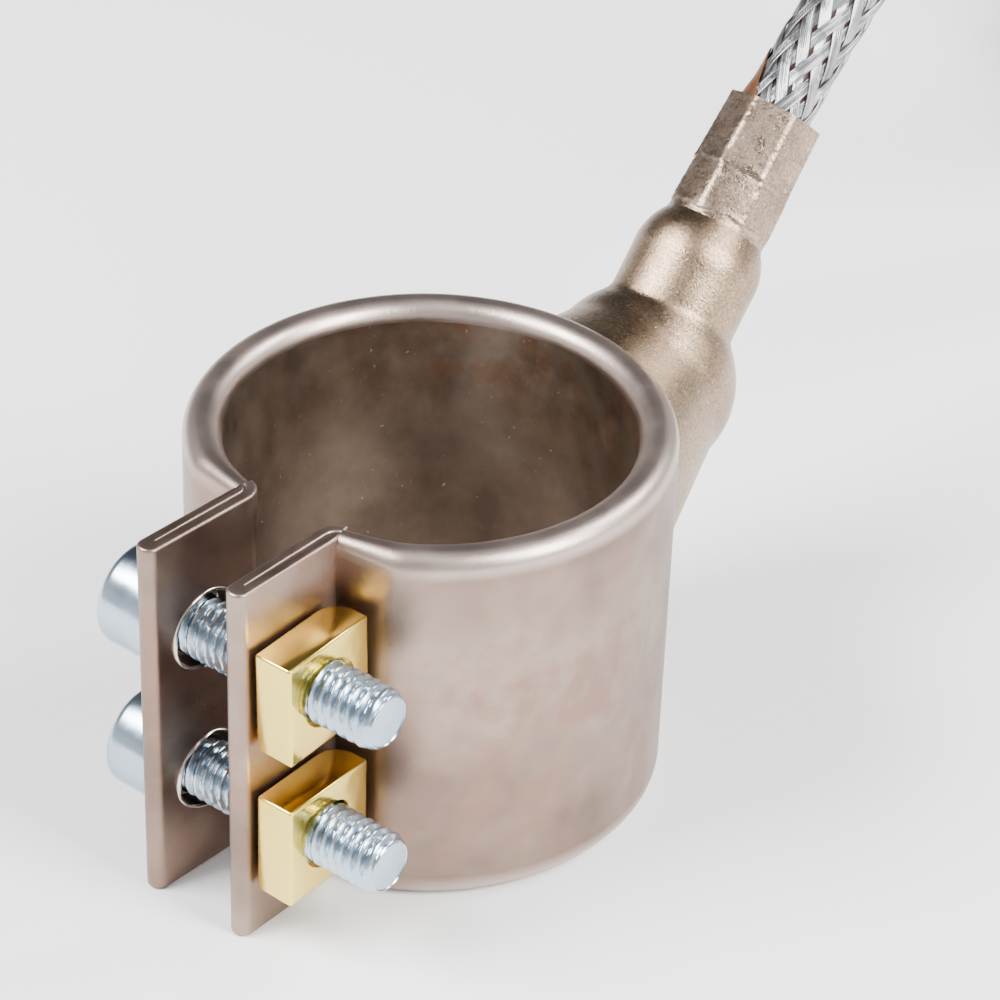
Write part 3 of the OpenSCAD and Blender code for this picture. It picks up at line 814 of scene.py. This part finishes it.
def build_band():
    both = [M["out"], M["in"]]
    fixed_end = 180 - FOLD_A
    for part, a0, a1 in (("fixed", FLEX_FROM, fixed_end), ("flex", FLEX_TO, FLEX_FROM),
                         ("closing", FOLD_A, FLEX_TO)):
        caps = (part == "closing", part == "fixed")
        inner = ring_mesh("inner_band_" + part, rolled_section, a0, a1, both, caps, True)
        outer = ring_mesh("outer_band_" + part, outer_section, a0, a1, M["out"], caps)
        fix_normals(inner)
        fix_normals(outer)
        if part == "flex":
            for ob, slot in ((inner, "inner_sheath"), (outer, "outer_sheath")):
                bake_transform(ob)
        else:
            own(inner, "band_" + part, "inner_sheath", "inner_sheath_" + part)
            own(outer, "band_" + part, "outer_sheath", "outer_sheath_" + part)
    for part, tilt, reach in (("fixed", 4.0, SCREW_REACH), ("closing", -2.0, SCREW_REACH + 0.35)):
        side = 1 if part == "closing" else -1
        ear = plate("folded_ear_" + part, ear_outline(tilt), M["out"])
        if side < 0:
            mirror(ear)
        fix_normals(ear)
        cut(ear, hole_tools(side, reach), 50)
        own(ear, "band_" + part, "inner_sheath")
        lips(side, tilt, reach, "band_" + part)


build_band()


# ---------------------------------------------------------------- screws
THREAD_R = 2.95
PITCH = 1.0
SHANK_LEN = 24.0
HEAD_R, HEAD_H = 5.0, 6.0
HEX_R = 2.5


def thread_radius(phase):
    """Radius of a rounded 60 degree thread, from the turn's fraction."""
    f = abs((phase % 1.0) - 0.5) * 2
    return 2.42 + 0.53 * min(1.0, max(0.0, 1.28 * f - 0.12))


def build_screw(name, seat_x, z, cad, turn):
    """A cap screw as rings of (place along it, radius), from the socket's floor to the thread's tip."""
    n = 72
    ths = turn_steps(n)
    hexr = lambda th: HEX_R / math.cos(((th + math.pi / 6) % (math.pi / 3)) - math.pi / 6)
    rows = [[(-3.2, 0.01)] * n,
            [(-3.0, hexr(t) * 0.98) for t in ths],
            [(-HEAD_H + 0.25, hexr(t)) for t in ths],
            [(-HEAD_H, max(hexr(t) + 0.12, THREAD_R)) for t in ths],
            [(-HEAD_H, 3.6)] * n]
    for a in np.radians(np.linspace(0, 90, 9)):
        rows.append([(-HEAD_H + 1 - math.cos(a), HEAD_R - 1 + math.sin(a))] * n)
    rows += [[(-4, HEAD_R)] * n, [(-2, HEAD_R)] * n, [(-0.25, HEAD_R)] * n, [(-0.06, 4.93)] * n, [(0.0, 4.75)] * n,
             [(0.0, 3.3)] * n, [(0.35, THREAD_R)] * n]
    run_in, tip = 0.6, 1.1
    for x in np.arange(run_in, SHANK_LEN - 0.001, 0.085):
        row = []
        for t in ths:
            r = thread_radius(x / PITCH - t / (2 * math.pi))
            if x < run_in + 1:
                r = THREAD_R + (r - THREAD_R) * (x - run_in)
            end = SHANK_LEN - x
            if end < tip:
                r = min(r, 2.25 + 0.7 * math.sqrt(max(0.0, end / tip)))
            row.append((x, r))
        rows.append(row)
    for f in (0.0, 0.35, 0.65, 0.9):
        rows.append([(SHANK_LEN + 0.12 * (f - 1), 2.28 * (1 - f))] * n)
    rows.append([(SHANK_LEN, 0.01)] * n)
    verts = []
    for row in rows:
        for (x, r), t in zip(row, ths + turn):
            verts.append((seat_x + x, -SCREW_REACH + r * math.cos(t), z + r * math.sin(t)))
    faces = grid_faces(len(rows), n)
    ob = make(name, verts, faces, M["zinc"], None, 40)
    fix_normals(ob)
    return own(ob, cad, "zinc_screw", cad)


build_screw("upper_cap_screw", -7.35, UPPER_Z, "upper_screw", 0.3)
build_screw("lower_cap_screw", -6.85, LOWER_Z, "lower_screw", 1.1)


# ---------------------------------------------------------------- nuts
NUT_X, NUT_T, NUT_W, NUT_H = 6.1, 4, 10.4, 10.6


def build_nut(name, z, cad, yaw):
    """A nut block, round at one upright corner beside the band, with a threaded hole's mouth."""
    v = [(x, y, w) for x in (0, NUT_T) for y in (-NUT_W / 2, NUT_W / 2) for w in (-NUT_H / 2, NUT_H / 2)]
    f = [(0, 1, 3, 2), (4, 6, 7, 5), (0, 4, 5, 1), (2, 3, 7, 6), (0, 2, 6, 4), (1, 5, 7, 3)]
    ob = make(name, v, f, M["brass"], None, 30)
    bm = bmesh.new()
    bm.from_mesh(ob.data)
    bmesh.ops.recalc_face_normals(bm, faces=bm.faces)
    upright = [e for e in bm.edges if all(abs(p.co.x) < 1e-6 and p.co.y > 0.005 for p in e.verts)]
    bmesh.ops.bevel(bm, geom=upright, offset=0.0025, segments=8, affect="EDGES", profile=0.5)
    edges = [e for e in bm.edges if e.calc_face_angle(0.0) > math.radians(40)]
    bmesh.ops.bevel(bm, geom=edges, offset=0.00028, segments=3, affect="EDGES", profile=0.5)
    bm.to_mesh(ob.data)
    bm.free()
    bore = cylinder((-1, 0, 0), (NUT_T + 1, 0, 0), 2.97, 64)
    countersink = cylinder((NUT_T - 0.4, 0, 0), (NUT_T + 0.4, 0, 0), 2.9, 64, 3.75)
    cut(ob, [make("tool", cv, cf, M["brass"]) for cv, cf in (bore, countersink)], 30)
    spin = Matrix.Rotation(math.radians(yaw), 4, "X")
    ob.data.transform(Matrix.Translation((NUT_X * 0.001, -SCREW_REACH * 0.001, z * 0.001)) @ spin)
    return own(ob, cad, "brass_nut", cad)


build_nut("upper_brass_nut", UPPER_Z, "upper_nut", 1.2)
build_nut("lower_brass_nut", LOWER_Z, "lower_nut", -0.6)


# ---------------------------------------------------------------- outlet
FOOT = np.array([0, 16.0, 3.1])
DOME = np.array([0, 32.5, 7.0])
BULGE = np.array([0, 41.3, 16.4])
MOUTH = np.array([0, 53.6, 28.0])
AXIS = (MOUTH - BULGE) / np.linalg.norm(MOUTH - BULGE)
# Across and up, square to the crimp's axis
ACROSS = np.array([1.0, 0, 0])
UPWARD = np.cross(AXIS, ACROSS)
# Radius inside the crimp's mouth, where the sleeving comes out
MOUTH_R = 3.72


def round_axis(s, r, th):
    """The point at that distance past the bulge and that angle and radius round the crimp's axis."""
    return BULGE + s * AXIS + r * (math.cos(th) * ACROSS + math.sin(th) * UPWARD)


def ball(c, r, n=32):
    v, f = [], []
    for i in range(n + 1):
        p = math.pi * i / n
        for k in range(2 * n):
            t = math.pi * k / n
            v.append(np.array(c) + max(r * math.sin(p), 1e-4) * np.array([math.cos(t), math.sin(t), 0])
                     + np.array([0, 0, r * math.cos(p)]))
    return v, grid_faces(n + 1, 2 * n)


def build_outlet():
    """The cap's cone and dome with the tube's bulge, fused and smoothed as one pressed piece."""
    parts = [cylinder(FOOT, DOME, 14.6, 64, 9.6), ball(DOME, 9.75), cylinder(DOME, BULGE, 6.55, 64),
             ball(BULGE - 0.2 * AXIS, 6.6), cylinder(BULGE, BULGE + 4.4 * AXIS, 6.45, 64, 5.0)]
    v, f = [], []
    for pv, pf in parts:
        o = len(v)
        v += list(pv)
        f += [tuple(o + k for k in g) for g in pf]
    ob = make("outlet_dome", v, f, M["outlet"])
    fix_normals(ob)
    re = ob.modifiers.new("remesh", "REMESH")
    re.mode = "VOXEL"
    re.voxel_size = 0.0003
    sm = ob.modifiers.new("smooth", "SMOOTH")
    sm.iterations = 14
    sm.factor = 0.5
    baked(ob, 180)
    bm = bmesh.new()
    bm.from_mesh(ob.data)
    # What lies inside the band's wall is taken away
    gone = [p for p in bm.verts if p.co.y < 0.012 or math.hypot(p.co.x, p.co.y) < 0.0222]
    bmesh.ops.delete(bm, geom=gone, context="VERTS")
    bm.to_mesh(ob.data)
    bm.free()
    ob.data.materials.clear()
    ob.data.materials.append(M["outlet"])
    return own(ob, "band_fixed", "outlet_nickel", "outlet_cap", "outlet_tube")


def build_bead():
    """A grainy bead of braze along the curve where the cap's cone meets the band."""
    d = (DOME - FOOT) / np.linalg.norm(DOME - FOOT)
    u = np.array([1.0, 0, 0])
    w = np.cross(d, u)
    length = np.linalg.norm(DOME - FOOT)
    line, outward = [], []
    n = 220
    for i in range(n):
        a = 2 * math.pi * i / n
        radial = math.cos(a) * u + math.sin(a) * w
        lo, hi = 0.0, length
        for _ in range(40):
            s = (lo + hi) / 2
            p = FOOT + s * d + (14.5 + (9.2 - 14.5) * s / length) * radial
            if math.hypot(p[0], p[1]) < R_OUT:
                lo = s
            else:
                hi = s
        line.append(p)
        outward.append(radial)
    rng = np.random.default_rng(3)
    rough = rng.uniform(-1, 1, (n, 10))
    v = []
    for i in range(n):
        t = line[(i + 1) % n] - line[i - 1]
        t /= np.linalg.norm(t)
        a1 = outward[i] - t * (outward[i] @ t)
        a1 /= np.linalg.norm(a1)
        a2 = np.cross(t, a1)
        for k in range(10):
            b = 2 * math.pi * k / 10
            r = 0.78 + 0.10 * rough[i, k] + 0.1 * math.sin(i * 0.37) + 0.07 * math.sin(i * 1.13)
            v.append(line[i] + r * (math.cos(b) * a1 + math.sin(b) * a2))
    ob = make("braze_ring", v, closed_grid(n, 10), M["braze"], None, 80)
    fix_normals(ob)
    return own(ob, "band_fixed", "braze", "braze_bead")


def build_crimp():
    """The crimped sleeve: round at the bulge, then two rings of flats, and an open mouth."""
    n = 96
    length = np.linalg.norm(MOUTH - BULGE)
    start = 3.6

    def flats(th, turn, depth):
        # Seven flats, from round at depth 0 to flat at depth 1
        w = 2 * math.pi / 7
        f = ((th - turn) % w) - w / 2
        return 1 + depth * (math.cos(w / 2) / math.cos(f) / (0.5 + 0.5 * math.cos(w / 2)) - 1)

    rows = []
    rng = np.random.default_rng(11)
    wobble = rng.uniform(-1, 1, n)
    ss = np.concatenate([np.linspace(start, length - 0.25, 84), [length - 0.1, length]])
    for s in ss:
        f = (s - start) / (length - start)
        base = 5.22 - 0.42 * f
        row = []
        for k in range(n):
            th = 2 * math.pi * k / n
            ragged = 0.012 * wobble[k] + 0.010 * math.sin(5 * th)
            g = min(1.0, max(0.0, (f - 0.02) / 0.12))
            h = min(1.0, max(0.0, (f - 0.42 - ragged) / 0.03))
            low, high = flats(th, 4.745, 0.8), flats(th, 4.693, 0.85)
            r = base * (1 + g * (low - 1)) * (1 - h) + base * high * h
            for c, wd, dp in ((0.425, 0.013, 0.05), (0.06, 0.014, 0.06)):
                r -= dp * math.exp(-((f - c - ragged) / wd) ** 2)
            for c, wd, dp in ((0.46, 0.012, 0.08), (0.09, 0.012, 0.06)):
                r += dp * math.exp(-((f - c - ragged) / wd) ** 2)
            row.append(r + 0.022 * rng.uniform(-1, 1))
        rows.append((s, row))
    uneven = lambda th: 0.132 * math.sin(2 * th + 0.6)
    verts = []
    for s, row in rows:
        for r, th in zip(row, turn_steps(n)):
            verts.append(round_axis(s + (uneven(th) if s > length - 0.3 else 0.0), r, th))
    for s, drop in ((length, 0.55), (length - 0.4, 0.72), (length - 4, 0.8)):
        for r, th in zip(rows[-1][1], turn_steps(n)):
            verts.append(round_axis(s + uneven(th), max(MOUTH_R, r - drop), th))
    faces = grid_faces(len(rows) + 3, n)
    ob = make("crimped_sleeve", verts, faces, M["crimp"], None, 32)
    fix_normals(ob)
    own(ob, "band_fixed", "outlet_nickel")


def build_fibre_end():
    """Brown sleeving under the braid, with a tongue that shows at one side of the mouth."""
    v = []
    rows_n, tongue = 24, math.radians(206)
    length = np.linalg.norm(MOUTH - BULGE)
    wall = 0.16
    for j in range(rows_n + 1):
        for k in range(64):
            th = 2 * math.pi * k / 64
            reach = 6.4 * max(0.0, math.cos(th - tongue)) ** 5 - 0.5
            f = j / rows_n
            s = -5 + (5 + reach) * f
            lift = 0.32 * math.exp(-((s - 0.3) / 1.6) ** 2) * max(0.0, math.cos(th - tongue)) ** 3
            v.append(round_axis(length + s, MOUTH_R - 0.02 * max(0.0, s) + lift, th))
    for j in range(rows_n, -1, -1):
        for k, th in enumerate(turn_steps(64)):
            v.append(v[j * 64 + k] - wall * (math.cos(th) * ACROSS + math.sin(th) * UPWARD))
    fb = make("fibre_sleeve_end", v, grid_faces(2 * rows_n + 2, 64), M["fibre"], None, 60)
    fix_normals(fb)
    own(fb, "band_fixed", "glass_sleeve", "fibre_sleeve")


build_outlet()
build_bead()
build_crimp()
build_fibre_end()


# ---------------------------------------------------------------- CAD nodes that stay as they are
def paint(name, key):
    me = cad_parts[name].data
    me.materials.clear()
    me.materials.append(M[key])


FINISH = {
    "mica": ["inner_mica_fixed", "inner_mica_closing", "outer_mica_fixed", "outer_mica_closing",
             "element_core_fixed", "element_core_closing"],
    "nickel": ["heating_ribbon_fixed", "heating_ribbon_closing", "element_tails", "lead_splices"],
    "ceramic": ["lead_bushes"],
    "fibre": ["splice_sleeves"],
    "lead": ["lead_wires"],
}
for key, names in FINISH.items():
    for name in names:
        paint(name, key)
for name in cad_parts:
    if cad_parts[name].hide_render:
        paint(name, "out")


# ---------------------------------------------------------------- floor, light
def build_floor():
    me = bpy.data.meshes.new("floor")
    z = -0.01905
    me.from_pydata([(-4, -4, z), (4, -4, z), (4, 4, z), (-4, 4, z)], [], [(0, 1, 2, 3)])
    floor = bpy.data.objects.new("floor", me)
    bpy.context.scene.collection.objects.link(floor)
    m, nt, bsdf = nodes_of("floor_white")
    tex = noise_node(nt, 3)
    nt.links.new(ramp(nt, tex.outputs["Fac"], [(0.3, grey(0.93)), (0.7, grey(0.95))]), bsdf.inputs["Base Color"])
    bsdf.inputs["Roughness"].default_value = 0.9
    me.materials.append(m)


def build_world():
    """A bright horizon and a dimmer top, darkened behind and to the left, where the rounded metal mirrors it."""
    world = bpy.data.worlds.new("studio")
    world.use_nodes = True
    wt = world.node_tree
    sky = ramp(wt, axes_of(wt, "Generated")[2], [
        (0.0, (1.0, 0.99, 0.97)), (0.22, (0.95, 0.96, 0.97)), (0.45, (0.42, 0.43, 0.45)),
        (0.8, (0.27, 0.28, 0.30)), (1.0, (0.34, 0.35, 0.37))])
    coord = wt.nodes.new("ShaderNodeTexCoord")
    toward = wt.nodes.new("ShaderNodeVectorMath")
    toward.operation = "DOT_PRODUCT"
    toward.inputs[1].default_value = (-0.70, 0.60, 0.38)
    wt.links.new(coord.outputs["Generated"], toward.inputs[0])
    dark = ramp(wt, toward.outputs["Value"], [(0.35, grey(1)), (0.8, (0.26, 0.26, 0.275))])
    wt.links.new(multiplied(wt, sky, dark), wt.nodes["Background"].inputs["Color"])
    wt.nodes["Background"].inputs["Strength"].default_value = 1.15
    bpy.context.scene.world = world


def area_light(name, at, to, size, power):
    li = bpy.data.lights.new(name, "AREA")
    li.shape = "RECTANGLE"
    li.size, li.size_y = size
    li.energy = power
    ob = bpy.data.objects.new(name, li)
    bpy.context.scene.collection.objects.link(ob)
    ob.location = at
    ob.rotation_euler = (Vector(to) - Vector(at)).to_track_quat("-Z", "Y").to_euler()


build_floor()
build_world()
area_light("key", (-0.30, -0.35, 0.55), (0, 0, 0), (0.4, 0.3), 12.0)
area_light("right", (0.5, 0.05, 0.42), (0, 0, 0), (0.22, 0.4), 9.0)
area_light("back", (0.35, 0.55, 0.55), (0, 0.03, 0), (0.25, 0.25), 5.0)

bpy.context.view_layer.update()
